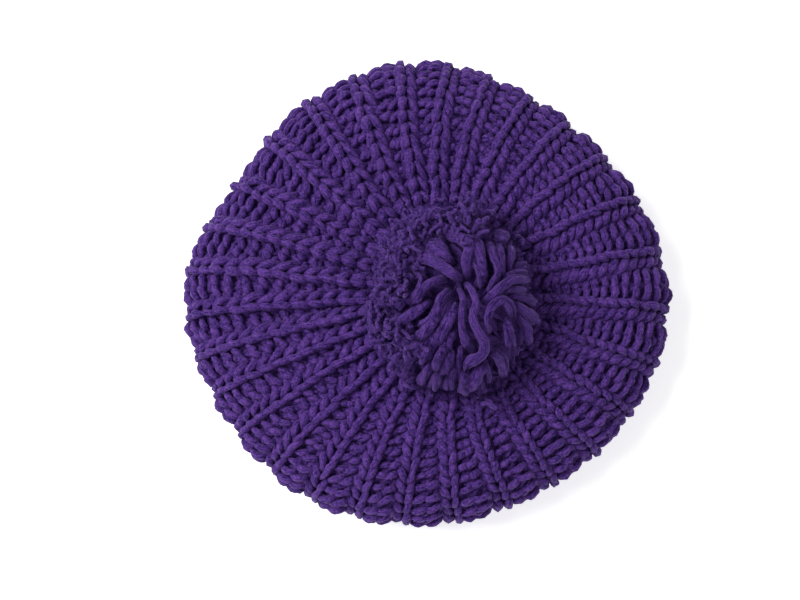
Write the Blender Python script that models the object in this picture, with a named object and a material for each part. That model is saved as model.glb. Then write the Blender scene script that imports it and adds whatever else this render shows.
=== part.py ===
# A chunky knitted tam with a pompom, lying on a table with its opening down.
# The knit is a rib of raised columns that fan out from the gather at the crown's middle,
# run over the rim and back under it to the head band. +Z is up, and the tam stands on
# Z = 0 with the middle of its outline on the Z axis. All sizes are in metres.

import math
from collections import namedtuple

import bmesh
import bpy
from mathutils import Matrix, Vector

# Driving sizes. NECK_RISE is how far the underside climbs above the band before it turns
# down to it, UNDER_LIFT how far the crown's lowest fold stays off the table, GATHER_AT the
# gather's place in the crown and POMPOM_LEAN the pompom's place over its own foot.
CROWN_WIDTH = 0.280
CROWN_HEIGHT = 0.058
BAND_BORE = 0.158
BAND_HEIGHT = 0.020
KNIT_WALL = 0.007
RIB_COUNT = 29
RIB_HEIGHT = 0.0024
RIB_WIDTH = 0.0085
NECK_RISE = 0.0095
UNDER_LIFT = 0.0010
GATHER_AT = Vector((0.0170, -0.0050))
POMPOM_WIDTH = 0.094
POMPOM_LENGTH = 0.104
POMPOM_HEIGHT = 0.064
POMPOM_LEAN = Vector((0.0010, -0.0060))
LOCK_THICKNESS = 0.0125
STALK_WIDTH = 0.026
JOINT_GAP = 0.0003

# The ribs stand closer together on the left of the crown than on the right
RIB_CROWDING = 0.085
WIDE_BEARING = math.radians(-12)

# How many rows of faces the wall has, and how much of the ribs shows on its inside
OUTSIDE_ROWS = 18
INSIDE_ROWS = 12
INSIDE_RIB_SHARE = 0.35

RIM_RADIUS = CROWN_WIDTH / 2 - RIB_HEIGHT - KNIT_WALL / 2
SHOULDER_HEIGHT = CROWN_HEIGHT - RIB_HEIGHT - KNIT_WALL / 2
BAND_RADIUS = (BAND_BORE + KNIT_WALL) / 2 + RIB_HEIGHT * INSIDE_RIB_SHARE
UNDER_LOW = UNDER_LIFT + RIB_HEIGHT + KNIT_WALL / 2
CROWN_FOOT = BAND_HEIGHT + JOINT_GAP
NECK_HEIGHT = CROWN_FOOT + NECK_RISE

# The middle of the crown's wall from the gather to the rim. reach is a share of the rim's
# radius, rise a share of the shoulder's height, and rib how far the ribs stand out there.
TopSection = namedtuple("TopSection", "name reach rise rib")
TOP_SECTIONS = (
    TopSection("gather", 0.00, 0.880, 0.00),
    TopSection("tuck", 0.11, 0.880, 0.00),
    TopSection("ring", 0.22, 0.920, 0.45),
    TopSection("inner_slope", 0.37, 0.975, 0.85),
    TopSection("shoulder", 0.56, 1.000, 1.00),
    TopSection("outer_slope", 0.75, 0.955, 1.00),
    TopSection("brow", 0.89, 0.820, 1.00),
    TopSection("edge", 0.975, 0.620, 1.00),
    TopSection("rim", 1.00, 0.420, 1.00),
)

# The same wall from the rim back to the band. reach is a share of the way from the band
# out to the rim, and rise a share of the way from the lowest fold up to the neck.
UnderSection = namedtuple("UnderSection", "name reach rise rib")
UNDER_SECTIONS = (
    UnderSection("roll", 0.970, 0.27, 1.00),
    UnderSection("sole", 0.840, 0.00, 1.00),
    UnderSection("lift", 0.660, 0.12, 1.00),
    UnderSection("climb", 0.460, 0.45, 0.90),
    UnderSection("slope", 0.300, 0.80, 0.70),
    UnderSection("neck", 0.170, 0.99, 0.50),
    UnderSection("turn", 0.050, 0.88, 0.30),
)

# The crown's outline seen from above: its radius at evenly spaced bearings, as a share of
# the rim's
Outline = namedtuple("Outline", "bearing radius")
OUTLINE = (
    Outline(0, 1.002),
    Outline(30, 0.944),
    Outline(60, 0.930),
    Outline(90, 0.968),
    Outline(120, 0.946),
    Outline(150, 0.910),
    Outline(180, 0.998),
    Outline(210, 0.974),
    Outline(240, 0.980),
    Outline(270, 0.962),
    Outline(300, 0.950),
    Outline(330, 0.982),
)

# Creases and swells that run out over the crown. depth is a share of the wall, below zero
# for a swell, spread is the half width in degrees, and they are deepest at the given reach.
Fold = namedtuple("Fold", "name bearing spread depth reach")
FOLDS = (
    Fold("left_crease", 189, 5, 0.80, 0.72),
    Fold("left_swell", 174, 12, -0.55, 0.85),
    Fold("front_swell", 250, 26, -0.30, 0.70),
    Fold("back_dip", 62, 24, 0.45, 0.78),
    Fold("front_dip", 305, 20, 0.35, 0.80),
)
FOLD_REACH_SPREAD = 0.30

# One rib, column by column: where it stands and how high. The first two columns are the
# raised knit stitches, placed by their own width, and the others share what is left.
RibColumn = namedtuple("RibColumn", "name raised place height")
RIB_COLUMNS = (
    RibColumn("leaf_leg", True, -0.5, 0.80),
    RibColumn("rope_leg", True, 0.5, 1.00),
    RibColumn("shadow_gap", False, 0.30, -0.55),
    RibColumn("bars", False, 0.72, -0.05),
)
WIDEST_RAISED_SHARE = 0.62

# The head band from its foot to its top. swell is a share of the wall.
BandSection = namedtuple("BandSection", "name rise swell rib")
BAND_SECTIONS = (
    BandSection("foot", 0.00, 0.05, 0.70),
    BandSection("roll", 0.18, 0.22, 0.90),
    BandSection("waist", 0.60, 0.08, 0.90),
    BandSection("top", 1.00, 0.00, 0.30),
)

# The pompom's locks, tier by tier. A lock leaves the core at its elevation and falls by
# droop on the way to its tip, both in degrees. reach is where its tip ends, as a share of
# the pompom's half width, and turn is the bearing of the tier's first lock.
Tier = namedtuple("Tier", "name count elevation droop reach turn")
TIERS = (
    Tier("crest", 5, 82, 40, 0.97, 20),
    Tier("upper", 9, 54, 38, 1.00, 5),
    Tier("middle", 12, 27, 34, 1.00, 0),
    Tier("lower", 12, -2, 22, 0.96, 14),
)
# How thick a lock is along its length, root to tip, as shares of its full thickness
LOCK_TAPER = (0.85, 1.10, 1.02, 0.50)
# Where a lock starts and how big the core is, as shares of the pompom, and how wide the
# stalk flares where it meets the core, as a share of the core
LOCK_ROOT = 0.62
CORE_SHARE = 0.72
STALK_FLARE = 0.85
# How much of its half height the pompom keeps below its middle, where it rests
POMPOM_SQUASH = 0.74

YARN_COLOUR = (0.078, 0.040, 0.168, 1.0)
POMPOM_COLOUR = (0.070, 0.036, 0.165, 1.0)


def smooth_curve(values, place):
    """The Catmull-Rom curve through equally spaced values, at a place from 0 to 1."""
    last = len(values) - 1
    at = min(max(place, 0.0), 1.0) * last
    i = min(int(at), last - 1)
    t = at - i
    before, start = values[max(i - 1, 0)], values[i]
    end, after = values[i + 1], values[min(i + 2, last)]
    return 0.5 * (
        2 * start
        + (end - before) * t
        + (2 * before - 5 * start + 4 * end - after) * t * t
        + (3 * start - before - 3 * end + after) * t * t * t
    )


def crown_midline():
    """(radius, height, rib, flat) down the middle of the crown's wall, gather to band.

    flat is how far the station follows the outline seen from above: 1 all over the top.
    """
    stations = [
        (s.reach * RIM_RADIUS, s.rise * SHOULDER_HEIGHT, s.rib, 1.0)
        for s in TOP_SECTIONS
    ]
    for s in UNDER_SECTIONS:
        radius = BAND_RADIUS + s.reach * (RIM_RADIUS - BAND_RADIUS)
        height = UNDER_LOW + s.rise * (NECK_HEIGHT - UNDER_LOW)
        stations.append((radius, height, s.rib, s.reach))
    stations.append((BAND_RADIUS, CROWN_FOOT, BAND_SECTIONS[-1].rib, 0.0))
    return stations


def resampled(stations, rows):
    """The same line with the given number of rows, and the wall's normal at each."""
    columns = list(zip(*stations))
    line = []
    for row in range(rows):
        place = row / (rows - 1)
        line.append([smooth_curve(column, place) for column in columns])
    for row, station in enumerate(line):
        before = line[max(row - 1, 0)]
        after = line[min(row + 1, rows - 1)]
        run = Vector((after[0] - before[0], after[1] - before[1])).normalized()
        station.append(Vector((-run.y, run.x)))
    line[0][-1] = Vector((0.0, 1.0))
    line[-1][-1] = Vector((1.0, 0.0))
    return line


def rib_bearing(turn, crowding):
    """The bearing of a rib that is this share of a full turn round, in radians."""
    angle = math.tau * turn
    return angle + crowding * math.sin(angle - WIDE_BEARING)


def outline_share(bearing):
    """The outline's radius share at a bearing in radians."""
    count = len(OUTLINE)
    at = (math.degrees(bearing) % 360) / (360 / count)
    i = int(at) % count
    around = [OUTLINE[(i + step) % count].radius for step in (-1, 0, 1, 2)]
    return smooth_curve(around, (1 + at - int(at)) / 3)


def fold_depth(bearing, reach):
    """How deep the crown's creases press in at a bearing and a reach, in metres."""
    depth = 0.0
    for fold in FOLDS:
        away = (math.degrees(bearing) - fold.bearing + 180) % 360 - 180
        across = math.exp(-((away / fold.spread) ** 2))
        along = math.exp(-(((reach - fold.reach) / FOLD_REACH_SPREAD) ** 2))
        depth += fold.depth * KNIT_WALL * across * along
    return depth


def column_place(column, radius):
    """How far round its own rib a column stands, as a share of the rib's pitch."""
    pitch = math.tau * max(radius, RIB_WIDTH) / RIB_COUNT
    raised = min(RIB_WIDTH / pitch, WIDEST_RAISED_SHARE)
    if column.raised:
        return column.place * raised
    return raised / 2 + column.place * (1 - raised)


def turned(profile):
    """A closed profile of (radius, height) spun into a mesh with one column per step.

    Each vertex keeps its place in the profile in the layer "station".
    """
    mesh = bmesh.new()
    layer = mesh.verts.layers.int.new("station")
    ring = []
    for station, (radius, height) in enumerate(profile):
        vertex = mesh.verts.new((radius, 0.0, height))
        vertex[layer] = station
        ring.append(vertex)
    edges = [mesh.edges.new(pair) for pair in zip(ring, ring[1:])]
    if profile[0][0] > 0.0:
        edges.append(mesh.edges.new((ring[-1], ring[0])))
    bmesh.ops.spin(
        mesh,
        geom=ring + edges,
        cent=(0, 0, 0),
        axis=(0, 0, 1),
        angle=math.tau,
        steps=RIB_COUNT * len(RIB_COLUMNS),
        use_merge=True,
    )
    bmesh.ops.remove_doubles(mesh, verts=mesh.verts, dist=1e-6)
    return mesh, layer


def each_column(mesh, layer):
    """Every vertex with its station, its rib's number and its column in that rib."""
    steps = RIB_COUNT * len(RIB_COLUMNS)
    for vertex in mesh.verts:
        angle = math.atan2(vertex.co.y, vertex.co.x) % math.tau
        step = round(angle / math.tau * steps) % steps
        rib, column = divmod(step, len(RIB_COLUMNS))
        yield vertex, vertex[layer], rib, RIB_COLUMNS[column]


def finished(mesh, name, colour, roughness):
    """The mesh as a smooth shaded object of its own, in its own material."""
    bmesh.ops.recalc_face_normals(mesh, faces=mesh.faces)
    data = bpy.data.meshes.new(name)
    mesh.to_mesh(data)
    mesh.free()
    data.shade_smooth()
    piece = bpy.data.objects.new(name, data)
    data.materials.append(yarn_material(name, colour, roughness))
    return piece


def yarn_material(name, colour, roughness):
    """A matt yarn in one colour."""
    material = bpy.data.materials.new(name + "_yarn")
    material.use_nodes = True
    shader = material.node_tree.nodes["Principled BSDF"]
    shader.inputs["Base Color"].default_value = colour
    shader.inputs["Roughness"].default_value = roughness
    shader.inputs["Metallic"].default_value = 0.0
    return material


def crown_point(station, outside, turn, column):
    """A point of the crown's wall, on its outside or inside, at one column of one rib."""
    radius, height, rib, flat, normal = station
    reach = min(radius / RIM_RADIUS, 1.0)
    crowding = RIB_CROWDING * flat
    bearing = rib_bearing(turn + column_place(column, radius) / RIB_COUNT, crowding)
    stand = column.height * RIB_HEIGHT * rib
    if outside:
        offset = KNIT_WALL / 2 + stand
    else:
        offset = -KNIT_WALL / 2 + stand * INSIDE_RIB_SHARE
    on_top = max(normal.y, 0.0)
    offset -= fold_depth(bearing, reach) * on_top * flat
    out = radius * (1 + (outline_share(bearing) - 1) * flat) + normal.x * offset
    up = height + normal.y * offset
    shift = GATHER_AT * (1 - reach) * on_top
    return Vector((shift.x + out * math.cos(bearing), shift.y + out * math.sin(bearing), up))


def make_crown():
    """The knitted crown: top, rim and underside in one wall, open where the band joins."""
    midline = crown_midline()
    outside = resampled(midline, OUTSIDE_ROWS)
    inside = resampled(midline, INSIDE_ROWS)[::-1]
    stations = [(s, True) for s in outside] + [(s, False) for s in inside]
    profile = [
        (s[0], s[1] + (KNIT_WALL if is_outside else -KNIT_WALL) / 2)
        for s, is_outside in stations
    ]
    profile[0] = (0.0, profile[0][1])
    profile[-1] = (0.0, profile[-1][1])
    mesh, layer = turned(profile)
    poles = (0, len(stations) - 1)
    for vertex, number, rib, column in each_column(mesh, layer):
        station, is_outside = stations[number]
        if number in poles:
            vertex.co = Vector((GATHER_AT.x, GATHER_AT.y, vertex.co.z))
        else:
            vertex.co = crown_point(station, is_outside, rib / RIB_COUNT, column)
    return finished(mesh, "crown", YARN_COLOUR, 0.9)


def make_band():
    """The ribbed head band, a ring that stands under the crown's neck."""
    rows = [(s, True) for s in BAND_SECTIONS] + [(s, False) for s in BAND_SECTIONS[::-1]]
    profile = [
        (BAND_RADIUS + (KNIT_WALL if is_outside else -KNIT_WALL) / 2, s.rise * BAND_HEIGHT)
        for s, is_outside in rows
    ]
    mesh, layer = turned(profile)
    for vertex, number, rib, column in each_column(mesh, layer):
        section, is_outside = rows[number]
        turn = (rib + column_place(column, BAND_RADIUS)) / RIB_COUNT
        bearing = rib_bearing(turn, 0.0)
        stand = column.height * RIB_HEIGHT * section.rib
        side = KNIT_WALL / 2 + stand if is_outside else -KNIT_WALL / 2 + stand * INSIDE_RIB_SHARE
        out = BAND_RADIUS + section.swell * KNIT_WALL + side
        up = section.rise * BAND_HEIGHT
        vertex.co = Vector((out * math.cos(bearing), out * math.sin(bearing), up))
    return finished(mesh, "band", YARN_COLOUR, 0.9)


def lock_path(tier, number, centre, half):
    """The points of one lock, from inside the pompom's core out to its drooping tip."""
    bearing = math.tau * number / tier.count + math.radians(tier.turn + 9 * math.sin(number * 5.3))
    blunt = LOCK_THICKNESS * LOCK_TAPER[-1] / 2 / half.x
    tip = tier.reach * (1 + 0.05 * math.sin(number * 1.7 + tier.turn)) - blunt
    points = []
    for step in range(len(LOCK_TAPER)):
        along = step / (len(LOCK_TAPER) - 1)
        out = LOCK_ROOT + (tip - LOCK_ROOT) * along ** 0.6
        angle = tier.elevation + 6 * math.sin(number * 2.4) - tier.droop * along ** 1.4
        elevation = math.radians(angle)
        heading = bearing + 0.30 * along * along * math.sin(number * 3.1 + tier.turn)
        points.append(pompom_point(centre, half, out, elevation, heading))
    return points


def pompom_point(centre, half, share, elevation, bearing):
    """A point of the pompom's rounded form, shrunk to a share of its full size."""
    depth = math.sin(elevation) * half.z
    return centre + share * Vector(
        (
            half.x * math.cos(elevation) * math.cos(bearing),
            half.y * math.cos(elevation) * math.sin(bearing),
            depth if depth > 0 else depth * POMPOM_SQUASH,
        )
    )


def linked(name, mesh, links):
    """A bmesh as an object in a collection."""
    data = bpy.data.meshes.new(name)
    mesh.to_mesh(data)
    mesh.free()
    piece = bpy.data.objects.new(name, data)
    links.objects.link(piece)
    return piece


def add_lock(points, name, locks):
    """A tapered tube along the points, as a closed mesh that a Boolean can join."""
    curve = bpy.data.curves.new(name, "CURVE")
    curve.dimensions = "3D"
    curve.bevel_depth = LOCK_THICKNESS / 2
    curve.bevel_resolution = 1
    curve.use_fill_caps = True
    spline = curve.splines.new("POLY")
    spline.points.add(len(points) - 1)
    for point, place, taper in zip(spline.points, points, LOCK_TAPER):
        point.co = (*place, 1.0)
        point.radius = taper
    guide = bpy.data.objects.new(name + "_guide", curve)
    locks.objects.link(guide)
    graph = bpy.context.evaluated_depsgraph_get()
    tube = bpy.data.meshes.new_from_object(guide.evaluated_get(graph))
    bpy.data.objects.remove(guide)
    mesh = bmesh.new()
    mesh.from_mesh(tube)
    bmesh.ops.remove_doubles(mesh, verts=mesh.verts, dist=1e-6)
    bmesh.ops.recalc_face_normals(mesh, faces=mesh.faces)
    linked(name, mesh, locks)


def add_stalk(foot, centre, top_radius, locks):
    """The bunched yarn under the core, with a flat end that sits on the gather."""
    mesh = bmesh.new()
    bmesh.ops.create_cone(
        mesh,
        cap_ends=True,
        segments=16,
        radius1=STALK_WIDTH / 2,
        radius2=top_radius,
        depth=1.0,
    )
    for vertex in mesh.verts:
        end = foot if vertex.co.z < 0 else centre
        vertex.co = Vector((end.x + vertex.co.x, end.y + vertex.co.y, end.z))
    linked("stalk", mesh, locks)


def keep_outer_skin(mesh):
    """Drops the closed pockets that joined locks leave inside."""
    for face in mesh.faces:
        face.tag = False
    skins = []
    for first in mesh.faces:
        if first.tag:
            continue
        first.tag = True
        skin = [first]
        for face in skin:
            for edge in face.edges:
                if len(edge.link_faces) != 2:
                    continue
                for other in edge.link_faces:
                    if not other.tag:
                        other.tag = True
                        skin.append(other)
        skins.append(skin)
    outer = max(skins, key=len)
    pockets = [face for skin in skins if skin is not outer for face in skin]
    bmesh.ops.delete(mesh, geom=pockets, context="FACES")


def make_pompom():
    """The pompom: a core on a short stalk with its locks of yarn, joined to one solid."""
    seat = TOP_SECTIONS[0].rise * SHOULDER_HEIGHT + KNIT_WALL / 2 + JOINT_GAP
    half = Vector((POMPOM_WIDTH, POMPOM_LENGTH, POMPOM_HEIGHT)) / 2
    foot = Vector((GATHER_AT.x, GATHER_AT.y, seat))
    centre = foot + Vector((POMPOM_LEAN.x, POMPOM_LEAN.y, half.z * POMPOM_SQUASH))
    locks = bpy.data.collections.new("pompom_locks")
    bpy.context.scene.collection.children.link(locks)
    mesh = bmesh.new()
    bmesh.ops.create_icosphere(mesh, subdivisions=2, radius=1.0)
    for vertex in mesh.verts:
        bearing = math.atan2(vertex.co.y, vertex.co.x)
        elevation = math.asin(max(-1.0, min(1.0, vertex.co.z)))
        vertex.co = pompom_point(centre, half, CORE_SHARE, elevation, bearing)
    core = linked("core", mesh, bpy.context.scene.collection)
    for tier in TIERS:
        for number in range(tier.count):
            add_lock(lock_path(tier, number, centre, half), f"lock_{tier.name}_{number}", locks)
    add_stalk(foot, centre, half.x * CORE_SHARE * STALK_FLARE, locks)
    union = core.modifiers.new("locks", "BOOLEAN")
    union.operation = "UNION"
    union.operand_type = "COLLECTION"
    union.collection = locks
    union.solver = "EXACT"
    graph = bpy.context.evaluated_depsgraph_get()
    mesh = bmesh.new()
    mesh.from_mesh(core.evaluated_get(graph).to_mesh())
    bpy.data.objects.remove(core)
    for lock in list(locks.objects):
        bpy.data.objects.remove(lock)
    bpy.data.collections.remove(locks)
    keep_outer_skin(mesh)
    return finished(mesh, "pompom", POMPOM_COLOUR, 0.95)


def stand_on_origin(pieces):
    """Moves the tam so that the origin lies under the middle of its outline, at its foot."""
    places = [vertex.co for piece in pieces for vertex in piece.data.vertices]
    low = Vector([min(place[axis] for place in places) for axis in range(3)])
    high = Vector([max(place[axis] for place in places) for axis in range(3)])
    middle = (low + high) / 2
    for piece in pieces:
        piece.data.transform(Matrix.Translation((-middle.x, -middle.y, -low.z)))


def build_tam():
    for old in list(bpy.data.objects):
        bpy.data.objects.remove(old, do_unlink=True)
    tam = bpy.data.collections.new("knitted_tam")
    bpy.context.scene.collection.children.link(tam)
    pieces = [make_crown(), make_band(), make_pompom()]
    stand_on_origin(pieces)
    for piece in pieces:
        tam.objects.link(piece)


build_tam()
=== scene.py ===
import math

import bpy
import bmesh
import numpy as np
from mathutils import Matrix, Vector


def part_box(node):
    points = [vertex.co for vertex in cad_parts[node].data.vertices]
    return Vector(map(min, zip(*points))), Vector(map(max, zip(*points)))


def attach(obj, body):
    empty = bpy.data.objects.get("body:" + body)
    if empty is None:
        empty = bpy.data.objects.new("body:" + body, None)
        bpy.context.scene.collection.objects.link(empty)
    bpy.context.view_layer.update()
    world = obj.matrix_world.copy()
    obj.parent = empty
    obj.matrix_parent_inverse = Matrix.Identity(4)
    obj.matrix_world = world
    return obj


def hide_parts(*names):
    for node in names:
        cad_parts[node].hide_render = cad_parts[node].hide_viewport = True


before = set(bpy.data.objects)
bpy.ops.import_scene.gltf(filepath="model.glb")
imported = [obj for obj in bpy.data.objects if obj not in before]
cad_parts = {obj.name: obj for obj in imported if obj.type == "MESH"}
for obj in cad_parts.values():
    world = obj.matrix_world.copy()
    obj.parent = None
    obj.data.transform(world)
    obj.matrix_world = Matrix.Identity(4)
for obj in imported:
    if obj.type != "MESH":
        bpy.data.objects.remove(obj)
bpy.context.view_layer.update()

rng = np.random.default_rng(29)
scene = bpy.context.scene
mm = 0.001
print("frame loaded")


def linear(hexColour):  # sRGB hex to a linear colour
    parts = [int(hexColour[i:i + 2], 16) / 255 for i in (1, 3, 5)]
    return [p / 12.92 if p <= 0.04045 else ((p + 0.055) / 1.055) ** 2.4 for p in parts] + [1.0]


def addNode(tree, kind, settings=None, links=None):  # links maps an input to an output socket
    node = tree.nodes.new(kind)
    for name, value in (settings or {}).items():
        if isinstance(name, str) and hasattr(node, name):
            setattr(node, name, value)
        else:
            node.inputs[name].default_value = value
    for name, socket in (links or {}).items():
        tree.links.new(socket, node.inputs[name])
    return node


def unit(rows):  # directions of length one
    return rows / np.maximum(np.linalg.norm(rows, axis=-1, keepdims=True), 1e-9)


def taper(share, steps):  # a value that follows steps of (share, value)
    return np.interp(share, *zip(*steps))


def spline(rows, perSpan, wrap=None):
    # Catmull-Rom through rows of numbers, closed when wrap says what one round adds to each column
    if wrap is None:
        padded = np.vstack([rows[:1], rows, rows[-1:]])
        spans = len(rows) - 1
    else:
        padded = np.vstack([rows[-1:] - wrap, rows, rows[:2] + wrap])
        spans = len(rows)
    before, start, end, after = (padded[i:i + spans, None] for i in range(4))
    t = (np.arange(perSpan) / perSpan)[None, :, None]
    made = 0.5 * (2 * start + (end - before) * t
                  + (2 * before - 5 * start + 4 * end - after) * t ** 2
                  + (3 * start - before - 3 * end + after) * t ** 3)
    made = made.reshape(-1, rows.shape[1])
    return made if wrap is not None else np.vstack([made, rows[-1:]])


# the middle of the knit, from the gather over the rim and back under to the band's foot
form = {
    "wall": 7.0 * mm,
    "ribRise": 2.4 * mm,
    "rimReach": 141.5 * mm,   # from the middle to the tops of the ribs at the rim
    "shoulder": 58 * mm,      # tops of the ribs where the crown is highest
    "bandBore": 158 * mm,
    "bandRibs": 0.35,         # how much of their rise the ribs keep on the stretched band
    "neckRise": 9.5 * mm,     # the crown's underside over the band's upper edge
    "foldLift": 1.0 * mm,     # and its lowest part over the floor
    "gatherX": 17.0 * mm,
    "gatherY": -5.0 * mm,
    # degrees that the ribs stand aside and lean as they near the gather, at every 30 degrees round
    "ribShift": (-1, 3, 3.5, 0.5, 1.5, 6, 4, -1.5, -3, -5, -4, -3),
    "ribLean": (-4, 8, 13, 15, 10, -1, -1, -3, -7, -9, -12, -11),
    # the rim's reach at every 30 degrees, as a share of its widest
    "outline": (1.002, 0.944, 0.930, 0.968, 0.946, 0.910,
                0.998, 0.974, 0.980, 0.962, 0.950, 0.982),
    "top": (                  # reach from gather to rim, height as a share of the shoulder's
        (0.00, 0.880), (0.11, 0.880), (0.22, 0.920), (0.37, 0.975), (0.56, 1.000),
        (0.75, 0.955), (0.89, 0.820), (0.975, 0.620), (1.00, 0.420)),
    "under": (                # reach from band to rim, height as a share of the neck's
        (0.970, 0.27), (0.840, 0.00), (0.660, 0.12), (0.460, 0.45), (0.300, 0.80),
        (0.170, 0.99), (0.050, 0.88)),
    "bandStops": (1.0, 0.5, 0.0),   # shares of the band's height
    "folds": (                # bearing, spread in degrees, depth in walls, reach
        (189, 5, 0.80, 0.72), (174, 12, -0.55, 0.85), (250, 26, -0.30, 0.70),
        (62, 24, 0.45, 0.78), (305, 20, 0.35, 0.80)),
    "foldSpread": 0.30,       # share of the reach that a fold takes up
    "rowsRight": -0.13,       # rows lie closer on the right and wider at the back
    "rowsBack": 0.10,
    "rowsFadeFrom": 95 * mm,  # and even out from here to the band
    "profileSteps": 24,
    "ringSteps": 16,
}

bandLow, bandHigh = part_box("band")
pompomLow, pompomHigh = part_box("pompom")
centreX = (bandLow.x + bandHigh.x) / 2     # the band is round, so it gives the middle of the turn
centreY = (bandLow.y + bandHigh.y) / 2
standOut = form["wall"] / 2 + form["ribRise"]
rimRadius = form["rimReach"] - standOut
shoulder = form["shoulder"] - standOut
bandRadius = (form["bandBore"] + form["wall"]) / 2 + form["bandRibs"] * form["ribRise"]
bandTop = bandHigh.z
underLow = form["foldLift"] + standOut
neck = bandTop + form["neckRise"]

# stations of radius, height and how far the place follows the outline
stations = [(reach * rimRadius, rise * shoulder, 1.0) for reach, rise in form["top"]]
stations += [(bandRadius + reach * (rimRadius - bandRadius), underLow + rise * (neck - underLow),
              reach) for reach, rise in form["under"]]
bandStart = len(stations)
stations += [(bandRadius, share * bandTop, 0.0) for share in form["bandStops"]]
line = spline(np.array(stations), form["profileSteps"])
run = unit(np.gradient(line[:, :2], axis=0))
steps = np.linalg.norm(np.diff(line[:, :2], axis=0), axis=1)
skin = {
    "along": np.concatenate([[0], np.cumsum(steps)]),
    "radius": line[:, 0],
    "height": line[:, 1],
    "follow": line[:, 2],
    "outward": -run[:, 1],
    "upward": run[:, 0],
}
rimAlong = skin["along"][np.argmax(skin["radius"])]
bandAlong = skin["along"][form["profileSteps"] * bandStart]
footAlong = skin["along"][-1]
print("knit runs %.0f mm to the rim, %.0f mm to the band, %.0f mm in all"
      % (rimAlong / mm, bandAlong / mm, footAlong / mm))


def roundValue(name, angle):  # one of the form's rings of values, at angles round the hat
    values = np.array(form[name], dtype=float)[:, None]
    ring = spline(values, form["ringSteps"], np.zeros(1))[:, 0]
    where = (angle / math.tau % 1.0) * len(ring)
    return np.interp(where, np.arange(len(ring) + 1), np.append(ring, ring[0]))


def onKnit(turn, along, lift):
    # points for places round the hat and along the profile, lifted off the knit's middle
    angle = math.tau * turn
    fade = np.clip((along - form["rowsFadeFrom"]) / (bandAlong - form["rowsFadeFrom"]), 0, 1)
    shift = along * (1 - fade ** 2 * (3 - 2 * fade))
    along = along + shift * (form["rowsRight"] * np.cos(angle) + form["rowsBack"] * np.sin(angle))
    radius, height, follow, outward, upward = (
        np.interp(along, skin["along"], skin[k])
        for k in ("radius", "height", "follow", "outward", "upward"))
    reach = np.minimum(radius / rimRadius, 1.0)
    onTop = np.maximum(upward, 0.0)
    bearing = angle + np.radians(follow * roundValue("ribShift", angle)
                                 + onTop * (1 - reach) * roundValue("ribLean", angle))
    share = roundValue("outline", bearing)
    dent = np.zeros_like(radius)
    for foldBearing, spread, depth, foldReach in form["folds"]:
        away = (np.degrees(bearing) - foldBearing + 180) % 360 - 180
        dent += (depth * form["wall"] * np.exp(-(away / spread) ** 2)
                 * np.exp(-((reach - foldReach) / form["foldSpread"]) ** 2))
    lift = lift - dent * onTop * follow
    out = radius * (1 + (share - 1) * follow) + outward * lift
    slide = (1 - reach) * onTop              # the gather isn't in the middle of the rim
    lowest = knit["yarnRadius"] * knit["footLift"]
    return np.stack([centreX + form["gatherX"] * slide + out * np.cos(bearing),
                     centreY + form["gatherY"] * slide + out * np.sin(bearing),
                     np.maximum(height + upward * lift, lowest)], axis=1)


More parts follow.
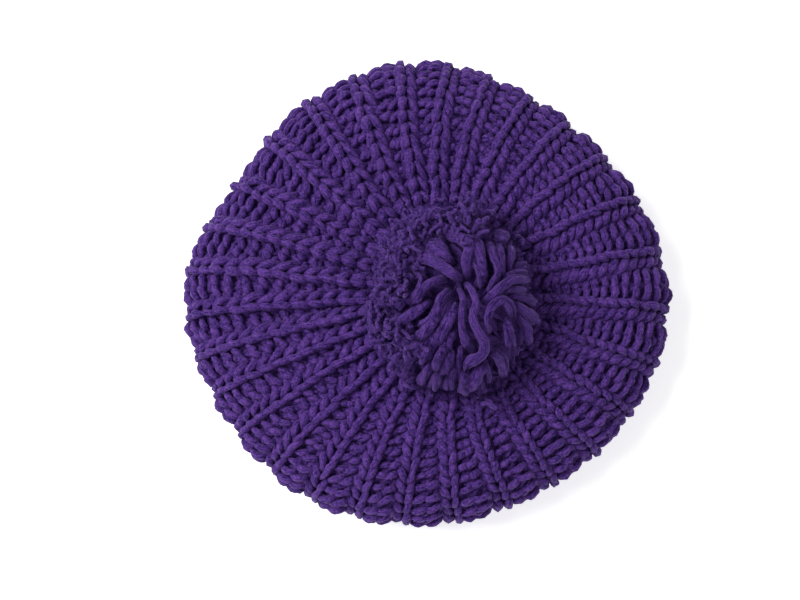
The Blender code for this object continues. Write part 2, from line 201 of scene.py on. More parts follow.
# one rib: a raised knit stitch and two purl stitches, course by course
knit = {
    "ribs": 29,
    "phase": 0.61,            # where the first rib starts, in ribs
    "rowSpacing": 7.0 * mm,
    "firstRow": 1.2,          # the gather's own course, in rows from the middle
    "loopHeight": 10.8 * mm,
    "yarnRadius": 2.2 * mm,
    "yarnSides": 6,
    "footLift": 1.3,          # the band's last course lies on the floor, in yarn radii over it
    "knitWidth": 10.7 * mm,
    "widestKnit": 0.88,       # the most of a rib that the raised stitch may take near the gather
    "narrow": 0.20,           # the raised stitch is narrower on the left
    "narrowBearing": math.radians(160),
    "purlRoom": 9.0 * mm,     # a purl stitch with less room than this is squeezed
    "sink": 4.5 * mm,         # and goes this deep where the ribs close up
    "headSwell": 0.12,        # its bar is fatter there
    "footDrop": 1.6 * mm,     # and the loops between the bars lie deeper
    "footTo": -0.4,           # share of the loop up to which it is a foot
    "purlSlant": 0.34,        # the purl bars on the right run slantwise
    "rimFill": 1.9 * mm,      # where the knit bends over the rim the purls stand out
    "rimSpread": 16 * mm,
    "ribDip": 0.7,            # and the raised stitches lie lower by this share of it
    "outerLeg": 0.6,          # the raised stitch's outer leg starts at this share of its width
    "backLean": 0.07,         # it is thicker at the back than in front
    "knobs": 0.16,            # and there it stands up in knobs
    "knobBearing": math.radians(110),
    "knobDrop": 5.5 * mm,     # how far the yarn would dip between two knobs of full size
    "crestOver": 1.0,         # the leg's crest is what stands out farther than this, in mm
    "dipOver": -1.0,          # and its dips lie from there down to this
    "wobble": 0.08,           # stitches differ in height and place,
    "tilt": 0.10,             # in slant,
    "nudge": 0.4 * mm,        # in depth
    "uneven": 0.05,           # and in thickness
    "slub": 0.08,             # slow thick and thin along the yarn
    "slubWaves": (7, 19, 43),
    "lumps": 0.07,            # quick thick and thin
    "rough": 0.16 * mm,
    "drift": 1.0 * mm,        # how far whole rows wander
    "driftDepth": 0.6,        # and how much of that in and out
    "driftLag": 7,            # a part of the round later
    "driftWaves": ((3, 23), (5, 31), (11, 17)),   # waves in a round, mm along the profile
    # across as a share of the stitch's width, along as a share of the loop, depth in mm, thickness
    "raised": (
        (0.02, -0.46, -2.6, 1.15), (0.56, -0.46, -2.5, 1.25), (0.48, -0.20, 0.4, 1.02),
        (0.32, 0.04, 1.5, 1.16), (0.15, 0.26, -0.4, 0.90), (0.22, 0.48, -3.1, 1.32),
        (0.66, 0.50, -3.1, 1.32), (0.95, 0.36, 0.6, 0.78), (0.93, 0.12, 2.8, 0.98),
        (0.84, -0.14, 3.0, 0.98), (0.77, -0.37, 0.8, 0.78), (0.74, -0.50, -3.0, 1.30),
        (1.00, -0.48, -3.0, 1.10)),
    "firstPurl": (
        (0.40, -0.36, -3.2, 1.15), (0.20, 0.05, -3.6, 1.20), (0.14, 0.36, -2.0, 0.92),
        (0.30, 0.45, 0.6, 0.84), (0.62, 0.53, 1.6, 0.98), (0.94, 0.60, 0.8, 0.84),
        (1.06, 0.44, -2.0, 0.92), (0.88, 0.10, -3.6, 1.20), (0.66, -0.32, -2.8, 1.10),
        (0.78, -0.48, -0.9, 0.84), (1.02, -0.47, 0.0, 0.84)),
    "secondPurl": (
        (0.24, -0.46, -0.7, 0.82), (0.40, -0.32, -2.6, 1.05), (0.14, 0.06, -3.6, 1.20),
        (-0.02, 0.34, -2.0, 0.92), (0.10, 0.45, 0.8, 0.84), (0.42, 0.52, 1.6, 0.98),
        (0.74, 0.60, 0.6, 0.84), (0.94, 0.44, -2.2, 0.92), (0.80, 0.00, -3.6, 1.20),
        (0.68, -0.42, -3.2, 1.15)),
}


def raisedPoint(turn, across, depth, thick, overRim):
    # depth and thickness of the yarn at one point of a raised stitch
    deep = depth * mm - knit["ribDip"] * overRim
    if across > knit["outerLeg"]:
        knob = knit["knobs"] * (0.5 + 0.5 * math.cos(turn - knit["knobBearing"])) ** 2
        thick *= 1 + knit["backLean"] * math.sin(turn)
        if depth > knit["crestOver"]:
            thick *= 1 + knob
        elif depth > knit["dipOver"]:
            thick *= 1 - knob
            deep -= knit["knobDrop"] * knob
    return deep, thick


def purlPoint(up, depth, thick, squeeze, overRim):
    # the same for a purl stitch
    deep = depth * mm - (knit["sink"] * squeeze - overRim)
    if depth > 0:
        thick *= 1 + knit["headSwell"] * squeeze
    elif up < knit["footTo"]:
        deep -= knit["footDrop"] * squeeze
    return deep, thick


def course(along, loopHeight, perSpan):
    # the yarn's path through one course: rows of x, y, z and thickness
    ribs = knit["ribs"]
    pitch = math.tau * float(np.interp(along, skin["along"], skin["radius"])) / ribs
    raised = min(knit["knitWidth"], knit["widestKnit"] * pitch) / pitch
    squeeze = 1 - min(1.0, (1 - raised) / 2 * pitch / knit["purlRoom"])
    overRim = knit["rimFill"] * math.exp(-((along - rimAlong) / knit["rimSpread"]) ** 2)
    rows = []
    for rib in range(ribs):
        turn = math.tau * (rib + 1) / ribs
        onLeft = max(0.0, math.cos(turn - knit["narrowBearing"]))
        onRight = max(0.0, math.cos(turn))
        knitShare = raised * (1 - knit["narrow"] * onLeft)
        purlShare = (1 - knitShare) / 2
        start = rib + knit["phase"] - knitShare / 2
        for name in ("raised", "firstPurl", "secondPurl"):
            width = knitShare if name == "raised" else purlShare
            loop = loopHeight * (1 + knit["wobble"] * rng.normal())
            tilt = knit["tilt"] * rng.normal()
            nudge = knit["nudge"] * rng.normal()
            aside = knit["wobble"] / 2 * rng.normal()
            fat = 1 + knit["uneven"] * rng.normal()
            if name != "raised":
                tilt -= knit["purlSlant"] * onRight
            for across, up, depth, thick in knit[name]:
                if name == "raised":
                    deep, thick = raisedPoint(turn, across, depth, thick, overRim)
                else:
                    deep, thick = purlPoint(up, depth, thick, squeeze, overRim)
                up += tilt * (across - 0.5)
                rows.append(((start + (across + aside) * width) / ribs, along - up * loop,
                             deep + nudge, thick * fat))
            start += width
    rows = spline(np.array(rows), perSpan, np.array([1.0, 0.0, 0.0, 0.0]))
    turn = math.tau * rows[:, 0]
    waves = knit["slubWaves"]
    phase = rng.uniform(0, math.tau, len(waves))
    slub = sum(np.sin(n * turn + p) for n, p in zip(waves, phase)) / len(waves)
    rows[:, 3] *= 1 + knit["slub"] * slub + knit["lumps"] * rng.normal(size=len(rows))
    waves = knit["driftWaves"]
    wander = sum(np.sin(n * turn + along / (k * mm) + k) for n, k in waves) / len(waves)
    later = np.roll(wander, len(rows) // knit["driftLag"])
    rows[:, 1] += knit["drift"] * wander
    rows[:, 2] += knit["driftDepth"] * knit["drift"] * later
    return np.column_stack([onKnit(rows[:, 0], rows[:, 1], rows[:, 2]), rows[:, 3]])


def yarnMesh(name, paths, radius, sides, closed, rough=0.0):
    # curves through the paths, round or (with no sides) flat, made into one mesh; the UV map's
    # first axis runs along each yarn
    curve = bpy.data.curves.new(name, "CURVE")
    curve.dimensions = "3D"
    if sides:
        curve.bevel_depth = radius
        curve.bevel_resolution = sides // 2 - 2
        curve.use_fill_caps = True
    else:
        curve.extrude = radius
    for path in paths:
        strand = curve.splines.new("POLY")
        strand.points.add(len(path) - 1)
        places = np.column_stack([path[:, :3], np.ones(len(path))])
        strand.points.foreach_set("co", places.ravel())
        strand.points.foreach_set("radius", path[:, 3])
        strand.use_cyclic_u = closed
    guide = bpy.data.objects.new(name, curve)
    scene.collection.objects.link(guide)
    made = guide.evaluated_get(bpy.context.evaluated_depsgraph_get())
    mesh = bpy.data.meshes.new_from_object(made)
    bpy.data.objects.remove(guide)
    mesh.name = name
    if rough:                 # loosely spun yarn is never quite round
        places, normals = np.empty(3 * len(mesh.vertices)), np.empty(3 * len(mesh.vertices))
        mesh.vertices.foreach_get("co", places)
        mesh.vertices.foreach_get("normal", normals)
        push = np.repeat(rough * rng.normal(size=len(mesh.vertices)), 3)
        mesh.vertices.foreach_set("co", places + normals * push)
    mesh.shade_smooth()
    piece = bpy.data.objects.new(name, mesh)
    scene.collection.objects.link(piece)
    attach(piece, "root")
    print("%s: %d faces" % (name, len(mesh.polygons)))
    return piece


# each fibre drawn is a lock of several real hairs, which are too fine to show
fuzz = {
    "perCourse": 2000,
    "hiddenShare": 0.3,       # fewer where the knit is out of sight
    "perTopStrand": 110,
    "perSideStrand": 20,
    "perCurl": 10,
    "length": 3.2 * mm,
    "lengths": (0.5, 1.3),    # shares of that length
    "halfWidth": 0.085 * mm,
    "taper": (1.3, 0.5),
    "lean": 0.85,             # how much of its length a fibre goes along the yarn
    "stand": 0.6,             # how steeply it stands off the yarn
    "curl": 0.175,
    "rootDepth": 0.92,        # it starts a little inside the yarn's surface
    "knitLift": 0.6,          # fibres stand upwards rather than down, where they show
    "topLift": 0.8,
    "sideLift": 0.3,
    "topTips": 0.35,          # share of the fibres that leave a cut end
    "sideTips": 0.5,
}


def fibres(paths, perPath, yarnRadius, upward, tipShare=0.0):
    # loose fibre ends that leave the yarn along its run and curl away from it
    made = []
    for path in paths:
        at = rng.integers(1, len(path) - 1, perPath)
        if tipShare:
            tips = rng.random(perPath) < tipShare
            at[tips] = len(path) - 2
        run = unit(path[(at + 1) % len(path), :3] - path[at - 1, :3])
        if not tipShare:      # either way along the yarn
            run *= np.where(rng.random(perPath) < 0.5, -1, 1)[:, None]
        aside = rng.normal(size=(perPath, 3)) + np.array([0, 0, upward])
        aside = unit(aside - run * np.sum(aside * run, axis=1, keepdims=True))
        curl = fuzz["curl"] * rng.normal(size=(perPath, 3))
        reach = fuzz["length"] * rng.uniform(*fuzz["lengths"], perPath)[:, None]
        root = path[at, :3] + aside * (yarnRadius * path[at, 3:4] * fuzz["rootDepth"])
        tip = root + reach * (fuzz["lean"] * run + fuzz["stand"] * aside + curl)
        tip[:, 2] = np.maximum(tip[:, 2], fuzz["halfWidth"])
        made += [np.column_stack([ends, fuzz["taper"]]) for ends in np.stack([root, tip], axis=1)]
    return made


courses = np.arange(knit["firstRow"] * knit["rowSpacing"], footAlong - knit["yarnRadius"],
                    knit["rowSpacing"])
knitRings = {                 # node, first and last place along the profile, points per span
    "crown_gather_knit": ("crown", 0.0, 40 * mm, 1),       # coarser under the pompom
    "crown_inner_knit": ("crown", 40 * mm, 72 * mm, 2),
    "crown_middle_knit": ("crown", 72 * mm, 105 * mm, 2),
    "crown_outer_knit": ("crown", 105 * mm, 133 * mm, 2),
    "crown_rim_knit": ("crown", 133 * mm, rimAlong + 12 * mm, 2),
    "crown_under_knit": ("crown", rimAlong + 12 * mm, bandAlong, 1),
    "band_knit": ("band", bandAlong, footAlong, 1),
}
knitPieces = []
knitFibres = []
for name, (node, first, last, perSpan) in knitRings.items():
    paths = [course(a, knit["loopHeight"], perSpan) for a in courses if first <= a < last]
    piece = yarnMesh(name, paths, knit["yarnRadius"], knit["yarnSides"], True, knit["rough"])
    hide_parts(node)
    knitPieces.append(piece)
    count = int(fuzz["perCourse"] * (fuzz["hiddenShare"] if perSpan == 1 else 1.0))
    knitFibres += fibres(paths, count, knit["yarnRadius"], fuzz["knitLift"])
knitFuzz = yarnMesh("knit_fuzz", knitFibres, fuzz["halfWidth"], 0, False)
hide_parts("crown")
print("knitted %d courses" % len(courses))


# the pompom: cut strands of the same roving that leave a parting on top and fall outwards
pompom = {
    "halfWidth": 43.0 * mm,
    "halfLength": 49.0 * mm,
    "halfHeight": 31.5 * mm,
    "squash": 0.68,           # the lower half is flatter, because the pompom lies on the crown
    "edge": 0.02,             # keeps the strands that hang past the edge a little over the heart
    "shiftX": -1.2 * mm,
    "parting": (17.0 * mm, -4.0 * mm),
    "partingDepth": 13 * mm,
    "partingReach": 14 * mm,
    "layerGap": 2.6 * mm,
    "layers": 2,
    "rough": 0.10 * mm,
    "strandSides": 6,
    # a strand on top rises out of the parting over its first part and sinks over its last
    "routeSteps": 4,
    "routeNudge": 0.2 * mm,
    "rootDrop": 4 * mm,
    "rootShare": 0.3,
    "tipDrop": 3.5 * mm,
    "tipFrom": 0.6475,
    "tipShare": 0.35,
    "strandTaper": ((0, 0.75), (0.15, 0.9), (0.5, 1.0), (0.9, 1.05), (1, 0.6)),
    "strandLumps": 0.06,
    # thickness, layer and route from the parting, in mm
    "strands": (
        # towards the back
        (5.5, 1, ((4, 1), (3, 10), (5, 18), (-1, 23), (-8, 27))),
        (5.1, 1, ((13, -1), (11, 12), (9, 23))),
        (4.1, 0, ((11, -3), (9, 7), (6, 14))),
        (4.1, 1, ((15, -5), (20, 4), (18, 12), (15, 22))),
        (4.1, 1, ((22, 1), (22, 12), (21, 21))),
        (6.2, 0, ((24, 4), (26, 12), (28, 18))),
        (5.5, 0, ((28, 7), (34, 10), (36, 8))),
        # to the right, with one that curls
        (3.8, 1, ((23, 1), (30, 5), (37, 5))),
        (4.8, 2, ((12, -12), (20, -5), (28, 1), (37, 2))),
        (3.4, 1, ((22, -6), (28, -5), (36, -5))),
        (5.1, 0, ((26, -8), (34, -8), (41, -10))),
        (4.4, 2, ((15, -28), (14, -21), (17, -14), (22, -11), (26, -14), (28, -20))),
        (5.1, 1, ((25, -20), (26, -28), (27, -36))),
        (6.2, 1, ((28, -12), (37, -17), (41, -19))),
        (7.5, 0, ((30, -14), (35, -23), (34, -32))),
        # in front, with the long one that hooks back
        (4.1, 1, ((16, -38), (21, -43), (24, -50))),
        (3.8, 0, ((17, -37), (24, -41), (24, -49))),
        (3.4, 0, ((12, -40), (15, -49), (16, -53))),
        (4.7, 2, ((3, -1), (6, -6), (8, -14), (6, -21), (9, -29), (12, -34), (11, -40),
                  (4, -44), (2, -48))),
        (4.0, 1, ((-1, -4), (1, -12), (0, -19), (0, -27), (2, -33), (4, -36))),
        (3.6, 0, ((0, -35), (-1, -44), (-2, -53))),
        (3.4, 0, ((-2, -12), (-5, -18), (-8, -23))),
        (6.2, 1, ((-2, -14), (-7, -23), (-12, -30), (-16, -36))),
        (5.8, 0, ((-4, -26), (-8, -34), (-9, -40))),
        (6.5, 1, ((-6, -38), (-8, -44), (-10, -48))),
        (8.2, 1, ((12, -45), (8, -51), (3, -55))),
        # to the left
        (5.5, 1, ((-6, -5), (-11, -11), (-13, -18), (-17, -23), (-22, -25))),
        (4.8, 0, ((-11, -23), (-16, -32), (-20, -38), (-26, -42))),
        (4.1, 0, ((-19, -29), (-26, -35), (-31, -38))),
        (5.1, 1, ((-8, 1), (-17, -3), (-23, -8), (-28, -12))),
        (5.8, 0, ((-17, -11), (-25, -17), (-35, -22))),
        (4.1, 1, ((-26, -3), (-34, -5), (-37, -12))),
        (4.1, 0, ((-28, -8), (-35, -15))),
        (4.1, 0, ((-27, -23), (-28, -28))),
        # back again, to the left of the first ones and over their ends
        (6.2, 1, ((0, 1), (-5, 3), (-11, 8), (-17, 12), (-22, 15))),
        (8.9, 0, ((-6, 10), (-11, 16), (-14, 21))),
        (3.8, 0, ((-18, 0), (-23, 4), (-26, 10))),
        (4.1, 0, ((-20, 14), (-28, 12))),
        (7.5, 0, ((9, 24), (3, 29), (-4, 29))),
        (7.5, 0, ((13, 25), (10, 31))),
        (7.5, 0, ((22, 22), (22, 29))),
        # short tufts low in front and at the lower left
        (4.1, 0, ((-13, -36), (-17, -45), (-20, -47))),
        (3.8, 0, ((-5, -46), (-4, -53))),
        (4.1, 0, ((-16, -38), (-15, -44))),
        (5.2, 2, ((-12, -20), (-18, -26), (-23, -31))),
        (5.6, 1, ((-15, -28), (-21, -34), (-26, -38))),
        (5.4, 1, ((-13, -33), (-17, -39), (-20, -44))),
        (5.0, 2, ((-9, -36), (-12, -42), (-14, -47))),
        (5.6, 1, ((-15, -43), (-19, -49), (-22, -53))),
        (6.0, 1, ((-10, -45), (-13, -51), (-15, -56))),
        (5.6, 1, ((-4, -46), (-6, -52), (-7, -57))),
        (5.8, 1, ((2, -48), (2, -53), (2, -58))),
        (5.4, 0, ((10, -50), (11, -54), (11, -58))),
        (5.6, 1, ((-23, -37), (-28, -42), (-32, -46))),
        (5.4, 1, ((-28, -29), (-34, -33), (-39, -36))),
        (5.0, 0, ((-33, -20), (-39, -22), (-43, -25))),
    ),
}

# loose strands all round under those, from straight up to well below the middle
loose = {
    "count": 420,
    "below": 1.42,            # 1 would end at the middle and 2 straight down
    "radius": 2.3 * mm,
    "sizes": (0.75, 1.2),
    "taper": ((0, 0.8), (0.5, 0.95), (0.93, 1.05), (1, 0.6)),
    "from": 0.25,             # share of the way out from the heart where a strand starts
    "steps": 8,
    "outPower": 0.9,
    "droopPower": 1.8,
    "droop": 12,              # degrees that the tips sink
    "droopOverhead": 22,      # and more near the top
    "droopSpread": 6,
    "sway": 0.5,
    "aside": 0.10,
    "reach": (0.92, 1.03),
    "shortOverhead": 0.46,    # strands near the top end lower, which leaves the parting open
}

# the bundles of fibre that a strand is spun from, close at its root and apart at its cut end
bundle = {
    "thin": 5,                # a strand thinner than this, in mm, has fewer bundles
    "few": 4,
    "many": 6,
    "side": 2,
    "topFlare": 0.9,
    "sideFlare": 0.8,
    "flares": (0.2, 1.6),
    "twist": 2.4,
    "uneven": 0.5,
    "off": 0.42,              # of the strand's radius
    "flat": 0.7,
    "sizes": (0.50, 0.76),
    "taper": ((0, 1), (0.88, 1), (1, 0.45)),
    "ends": (0.9, 1.03),
}

# felted clumps round the left and the back, of thick curls with a haze of hairs over them
felt = {
    "clumps": 95,
    "bearing": math.radians(150),
    "fan": math.radians(44),
    "lowest": -25,            # degrees up from the middle
    "rise": 68,
    "reach": 1.17,            # low clumps reach out farther
    "drawIn": 0.22,
    "reachSpread": 0.03,
    "spread": math.radians(5.5),
    "depthSpread": 0.035,
    "outward": 0.5,
    "upward": 0.3,
    "steps": 6,
    "sizes": (0.75, 1.2),
    "hairCount": 2700,
    "hairStep": 1.3 * mm,
    "hairWander": 0.75,
    "hairSink": -0.03,        # hairs stand out of the clumps
    "curlCount": 380,
    "curlStep": 1.9 * mm,
    "curlWander": 0.60,
    "curlRadius": 1.15 * mm,
    "curlSink": 0.04,
}
heart = Vector(((pompomHigh.x + pompomLow.x) / 2 + pompom["shiftX"],
                (pompomHigh.y + pompomLow.y) / 2,
                pompomLow.z + pompom["halfHeight"] * pompom["squash"]))
partingPlace = np.array(pompom["parting"])


def domeHeight(x, y):
    away = ((x - heart.x) / pompom["halfWidth"]) ** 2 + ((y - heart.y) / pompom["halfLength"]) ** 2
    return heart.z + pompom["halfHeight"] * np.sqrt(np.maximum(1 - away, pompom["edge"]))


def topStrand(thick, layer, route):
    # one of the strands seen on top, out of the parting and over the dome
    plan = spline(np.array(route) * mm + partingPlace, pompom["routeSteps"])
    plan += rng.normal(size=2) * pompom["routeNudge"]
    share = np.linspace(0, 1, len(plan))
    fromParting = np.hypot(*(plan[0] - partingPlace))
    dive = pompom["partingDepth"] * math.exp(-fromParting / pompom["partingReach"])
    dive += pompom["rootDrop"]
    root = np.maximum(1 - share / pompom["rootShare"], 0)
    end = np.maximum((share - pompom["tipFrom"]) / pompom["tipShare"], 0)
    drop = dive * root ** 2 + pompom["tipDrop"] * end ** 2
    height = (domeHeight(plan[:, 0], plan[:, 1]) - drop - thick * mm / 2
              - (pompom["layers"] - layer) * pompom["layerGap"])
    size = taper(share, pompom["strandTaper"]) * thick * mm / 2
    size *= 1 + pompom["strandLumps"] * rng.normal(size=len(size))
    return np.column_stack([plan, height, size])


def looseStrand(bearing, elevation, droop, reach):
    # a strand from the heart out to its tip, which sinks by droop
    along = np.linspace(loose["from"], 1, loose["steps"])
    out = reach * along ** loose["outPower"]
    rise = math.radians(elevation) - math.radians(droop) * along ** loose["droopPower"]
    head = bearing + loose["sway"] * rng.normal() * along ** 2 + loose["aside"] * rng.normal()
    up = np.sin(rise)
    return np.column_stack([
        heart.x + pompom["halfWidth"] * out * np.cos(rise) * np.cos(head),
        heart.y + pompom["halfLength"] * out * np.cos(rise) * np.sin(head),
        heart.z + pompom["halfHeight"] * out * np.where(up > 0, up, up * pompom["squash"]),
        taper(along, loose["taper"]) * rng.uniform(*loose["sizes"]) * loose["radius"]])


def bundles(path, count, flare):
    # the paths of the bundles that go round one strand's path
    run = unit(np.gradient(path[:, :3], axis=0))
    aside = unit(np.cross(run, (0, 0, 1)))
    above = np.cross(aside, run)
    along = np.linspace(0, 1, len(path))
    start = rng.uniform(0, math.tau)
    made = []
    for k in range(count):
        angle = start + math.tau * k / count + bundle["twist"] * along
        angle += bundle["uneven"] * rng.normal()
        opened = 1 + flare * rng.uniform(*bundle["flares"]) * along ** 3
        off = bundle["off"] * path[:, 3] * opened
        one = path.copy()
        one[:, :3] += (aside * (off * np.cos(angle))[:, None]
                       + above * (bundle["flat"] * off * np.sin(angle))[:, None])
        one[:, 3] *= rng.uniform(*bundle["sizes"]) * taper(along, bundle["taper"])
        cut = along * rng.uniform(*bundle["ends"])
        made.append(np.column_stack([np.interp(cut, along, column) for column in one.T]))
    return made


def curly(count, step, wander, size, sink):
    # curly ends out of the clumps, each a short walk that keeps turning
    made = []
    for _ in range(count):
        bearing, elevation, reach = clumps[rng.integers(len(clumps))]
        bearing += felt["spread"] * rng.normal()
        elevation += felt["spread"] * rng.normal()
        reach += felt["depthSpread"] * rng.normal() - sink
        place = np.array(heart) + reach * np.array([
            pompom["halfWidth"] * math.cos(elevation) * math.cos(bearing),
            pompom["halfLength"] * math.cos(elevation) * math.sin(bearing),
            pompom["halfHeight"] * math.sin(elevation)])
        away = np.array([math.cos(bearing), math.sin(bearing), felt["upward"]])
        heading = rng.normal(size=3) + felt["outward"] * away
        path = []
        for _ in range(felt["steps"]):
            path.append([*place, size * rng.uniform(*felt["sizes"])])
            heading = unit(heading) + wander * rng.normal(size=3)
            place = place + step * unit(heading)
        made.append(np.array(path))
    return made


topPaths = []
for thick, layer, route in pompom["strands"]:
    count = bundle["few"] if thick < bundle["thin"] else bundle["many"]
    topPaths += bundles(topStrand(thick, layer, route), count, bundle["topFlare"])

sidePaths = []
goldenAngle = math.pi * (3 - math.sqrt(5))     # spreads the strands evenly over the pompom
for i in range(loose["count"]):
    overhead = 1 - loose["below"] * (i + 0.5) / loose["count"]
    elevation = math.degrees(math.asin(overhead))
    overhead = max(0.0, overhead)
    droop = (loose["droop"] + loose["droopOverhead"] * overhead
             + loose["droopSpread"] * rng.normal())
    reach = rng.uniform(*loose["reach"]) - loose["shortOverhead"] * overhead ** 2
    strand = looseStrand(i * goldenAngle, elevation, droop, reach)
    sidePaths += bundles(strand, bundle["side"], bundle["sideFlare"])

clumps = []
for _ in range(felt["clumps"]):
    share = rng.random()
    clumps.append((rng.normal(felt["bearing"], felt["fan"]),
                   math.radians(felt["lowest"] + felt["rise"] * share),
                   felt["reach"] - felt["drawIn"] * share + felt["reachSpread"] * rng.normal()))
curls = curly(felt["curlCount"], felt["curlStep"], felt["curlWander"], felt["curlRadius"],
              felt["curlSink"])
hairs = curly(felt["hairCount"], felt["hairStep"], felt["hairWander"], 1.0, felt["hairSink"])

# the radius is in the paths here
topStrands = yarnMesh("pompom_top_strands", topPaths, 1.0, pompom["strandSides"], False,
                      pompom["rough"])
sideStrands = yarnMesh("pompom_side_strands", sidePaths + curls, 1.0, pompom["strandSides"], False,
                       pompom["rough"])
pompomFibres = fibres(topPaths, fuzz["perTopStrand"], 1.0, fuzz["topLift"], fuzz["topTips"])
pompomFibres += fibres(sidePaths, fuzz["perSideStrand"], 1.0, fuzz["sideLift"], fuzz["sideTips"])
pompomFibres += fibres(curls, fuzz["perCurl"], 1.0, fuzz["sideLift"])
pompomFuzz = yarnMesh("pompom_fuzz", pompomFibres + hairs, fuzz["halfWidth"], 0, False)
for piece in (topStrands, sideStrands, pompomFuzz):
    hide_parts("pompom")
print("pompom tied")


# Roving yarn in a wool blend, one thick ply with hardly any twist. Its fibres lie along the yarn
# in long soft streaks with tangled ends between them, and its colour is painted highlight and
# painted shade, laid over that fibre noise at random places. The surface is matt and felted,
# with no glint, and the fibre ends give its edges a pale bloom.
rovingLook = {
    # lit and shade: the ramp's ends, a painted highlight colour and a painted shade colour
    "lit": "#8252b8",
    "shade": "#12014b",
    "toneFrom": 0.38,
    "toneTo": 0.75,
    "streakShare": 0.45,
    "streaksAround": 3.0,     # bundles of fibre, drawn coarser than real ones so that they show
    "streakMm": 9,            # how long a bundle stays on the surface
    "streakDetail": 3.0,
    "streakRough": 0.65,
    "grainMm": 1.3,           # tangled fibre ends between the streaks
    "grainDetail": 3.0,
    "grainRough": 0.6,
    "twist": 0.5,
    "apart": 90,              # yarns a centimetre apart don't share their streaks
    "roughness": 0.7,
    "specular": 0.16,
    "sheen": 0.20,
    "sheenRough": 0.5,
    "sheenTint": "#b79ae0",
    "bump": 0.7,
    "bumpMm": 1.3,
    "yarnMm": 3000,           # the length that the UV map's first axis runs over, here a course
}
# The same yarn cut for the pompom. Its short ends come unspun, so the fibres show more as streaks
# of bump and of painted highlight and shade, with a finer grain and more bloom.
cutLook = {**rovingLook, "streakShare": 0.6, "grainMm": 0.9, "sheen": 0.3, "yarnMm": 60}
# Loose wool hairs off both. Light goes through so fine a thing; its painted shade colour is paler,
# painted light that stands in for that, and it has no grain that shows.
hairLook = {**rovingLook, "lit": "#7c56b4", "shade": "#3a1c78", "bump": 0.0, "yarnMm": 4}


def yarnMaterial(name, look):
    material = bpy.data.materials.new(name)
    material.use_nodes = True
    tree = material.node_tree
    tree.nodes.clear()
    uv = addNode(tree, "ShaderNodeUVMap", {"uv_map": "UVMap"})
    place = addNode(tree, "ShaderNodeTexCoord")
    # the UV map rolled up into a tube, so that the streaks have no seam along the yarn
    parts = addNode(tree, "ShaderNodeSeparateXYZ", links={"Vector": uv.outputs["UV"]})
    lengthways = addNode(tree, "ShaderNodeMath",
                         {"operation": "MULTIPLY", 1: look["yarnMm"] / look["streakMm"]},
                         {0: parts.outputs["X"]})
    around = addNode(tree, "ShaderNodeMath", {"operation": "MULTIPLY", 1: math.tau},
                     {0: parts.outputs["Y"]})
    twisted = addNode(tree, "ShaderNodeMath", {"operation": "MULTIPLY_ADD", 1: look["twist"]},
                      {0: lengthways.outputs[0], 2: around.outputs[0]})
    cosine = addNode(tree, "ShaderNodeMath", {"operation": "COSINE"}, {0: twisted.outputs[0]})
    sine = addNode(tree, "ShaderNodeMath", {"operation": "SINE"}, {0: twisted.outputs[0]})
    ring = addNode(tree, "ShaderNodeCombineXYZ", links={
        "X": cosine.outputs[0], "Y": sine.outputs[0], "Z": lengthways.outputs[0]})
    stretch = addNode(tree, "ShaderNodeVectorMath", {
        "operation": "MULTIPLY", 1: (look["streaksAround"], look["streaksAround"], 1.0)},
        {0: ring.outputs[0]})
    apart = addNode(tree, "ShaderNodeVectorMath",
                    {"operation": "MULTIPLY_ADD", 1: [look["apart"]] * 3},
                    {0: place.outputs["Object"], 2: stretch.outputs[0]})
    streaks = addNode(tree, "ShaderNodeTexNoise", {
        "Scale": 1.0, "Detail": look["streakDetail"], "Roughness": look["streakRough"]},
        {"Vector": apart.outputs[0]})
    grain = addNode(tree, "ShaderNodeTexNoise", {
        "Scale": 1 / (look["grainMm"] * mm), "Detail": look["grainDetail"],
        "Roughness": look["grainRough"]}, {"Vector": place.outputs["Object"]})
    mixed = addNode(tree, "ShaderNodeMix", {"data_type": "FLOAT", "Factor": look["streakShare"]},
                    {2: grain.outputs["Fac"], 3: streaks.outputs["Fac"]})
    tone = addNode(tree, "ShaderNodeMapRange", {
        "From Min": look["toneFrom"], "From Max": look["toneTo"], "To Min": 0.0, "To Max": 1.0},
        {"Value": mixed.outputs[0]})
    # the fibre noise picks between a painted shade colour and a painted highlight colour
    ramp = addNode(tree, "ShaderNodeValToRGB", links={"Fac": tone.outputs["Result"]})
    ramp.color_ramp.elements[0].color = linear(look["shade"])
    ramp.color_ramp.elements[1].color = linear(look["lit"])
    bump = addNode(tree, "ShaderNodeBump", {
        "Strength": look["bump"], "Distance": look["bumpMm"] * mm}, {"Height": mixed.outputs[0]})
    shader = addNode(tree, "ShaderNodeBsdfPrincipled", {
        "Roughness": look["roughness"], "Specular IOR Level": look["specular"],
        "Sheen Weight": look["sheen"], "Sheen Roughness": look["sheenRough"],
        "Sheen Tint": linear(look["sheenTint"])}, {
        "Base Color": ramp.outputs["Color"], "Normal": bump.outputs["Normal"]})
    addNode(tree, "ShaderNodeOutputMaterial", links={"Surface": shader.outputs[0]})
    return material


rovingYarn = yarnMaterial("roving_yarn_knitted", rovingLook)
cutYarn = yarnMaterial("roving_yarn_cut", cutLook)
looseHairs = yarnMaterial("loose_wool_hairs", hairLook)
for pieces, material in ((knitPieces, rovingYarn), ((topStrands, sideStrands), cutYarn),
                         ((knitFuzz, pompomFuzz), looseHairs)):
    for piece in pieces:
        piece.data.materials.clear()
        piece.data.materials.append(material)
print("materials set")


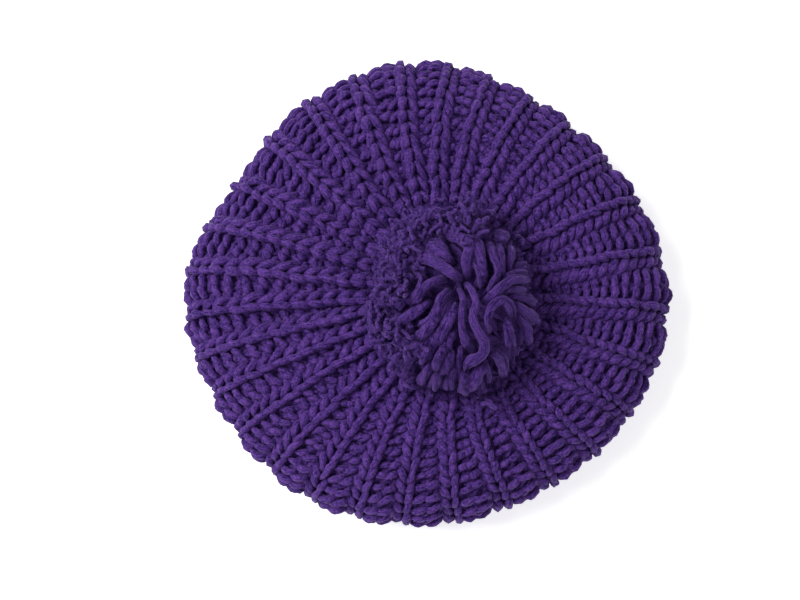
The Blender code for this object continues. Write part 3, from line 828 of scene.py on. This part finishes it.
# floor, lights and camera
studio = {
    "floor": "#fbfbfb",
    "floorSize": 3.0,
    "floorDrop": 0.3 * mm,
    "floorRoughness": 0.9,
    # the floor's glow is painted light: it washes out the hat's shadow
    "floorGlow": 0.60,
    "keyFrom": (-1.7, 0.5, 2.2),
    "keySize": 1.5,
    "keyWatts": 74,
    "fillFrom": (0.9, -0.6, 1.1),
    "fillSize": 1.2,
    "fillWatts": 3.4,
    "lampsAim": (0, 0, 0.04),
    "sky": 0.26,
    "elevation": 82,
    "distance": 1.083,
    "lens": 85,
    "sensor": 36,
    "lookAt": (-15.8 * mm, -5.3 * mm, 24 * mm),
}
white = (1, 1, 1, 1)

mesh = bpy.data.meshes.new("floor")
bm = bmesh.new()
bmesh.ops.create_grid(bm, x_segments=1, y_segments=1, size=studio["floorSize"])
bmesh.ops.translate(bm, verts=bm.verts, vec=(0, 0, -studio["floorDrop"]))
bm.to_mesh(mesh)
bm.free()
floor = bpy.data.objects.new("floor", mesh)
scene.collection.objects.link(floor)
# A plain white, matt floor with painted light: it glows though no lamp is under it, which washes
# out the hat's shadow and lights the hat a little from below.
glowingFloor = bpy.data.materials.new("white_floor_painted_glow")
glowingFloor.use_nodes = True
glowingFloorShader = glowingFloor.node_tree.nodes["Principled BSDF"]
for name, value in (("Base Color", linear(studio["floor"])),
                    ("Roughness", studio["floorRoughness"]),
                    ("Emission Color", white), ("Emission Strength", studio["floorGlow"])):
    glowingFloorShader.inputs[name].default_value = value
mesh.materials.append(glowingFloor)


def areaLight(name, place, size, watts):
    lamp = bpy.data.lights.new(name, "AREA")
    lamp.size = size
    lamp.energy = watts
    holder = bpy.data.objects.new(name, lamp)
    holder.location = place
    towards = Vector(studio["lampsAim"]) - Vector(place)
    holder.rotation_euler = towards.to_track_quat("-Z", "Y").to_euler()
    scene.collection.objects.link(holder)


areaLight("key_softbox", studio["keyFrom"], studio["keySize"], studio["keyWatts"])
areaLight("fill_softbox", studio["fillFrom"], studio["fillSize"], studio["fillWatts"])
world = bpy.data.worlds.new("studio_air")
world.use_nodes = True
background = world.node_tree.nodes["Background"]
background.inputs["Color"].default_value = white
background.inputs["Strength"].default_value = studio["sky"]
scene.world = world
scene.view_settings.view_transform = "Standard"

lens = bpy.data.cameras.new("camera")
lens.lens = studio["lens"]
lens.sensor_width = studio["sensor"]
camera = bpy.data.objects.new("camera", lens)
tilt = math.radians(studio["elevation"])
back = Vector((0, -math.cos(tilt), math.sin(tilt)))
camera.location = Vector(studio["lookAt"]) + studio["distance"] * back
camera.rotation_euler = (math.pi / 2 - tilt, 0, 0)
scene.collection.objects.link(camera)
scene.camera = camera
print("studio ready")
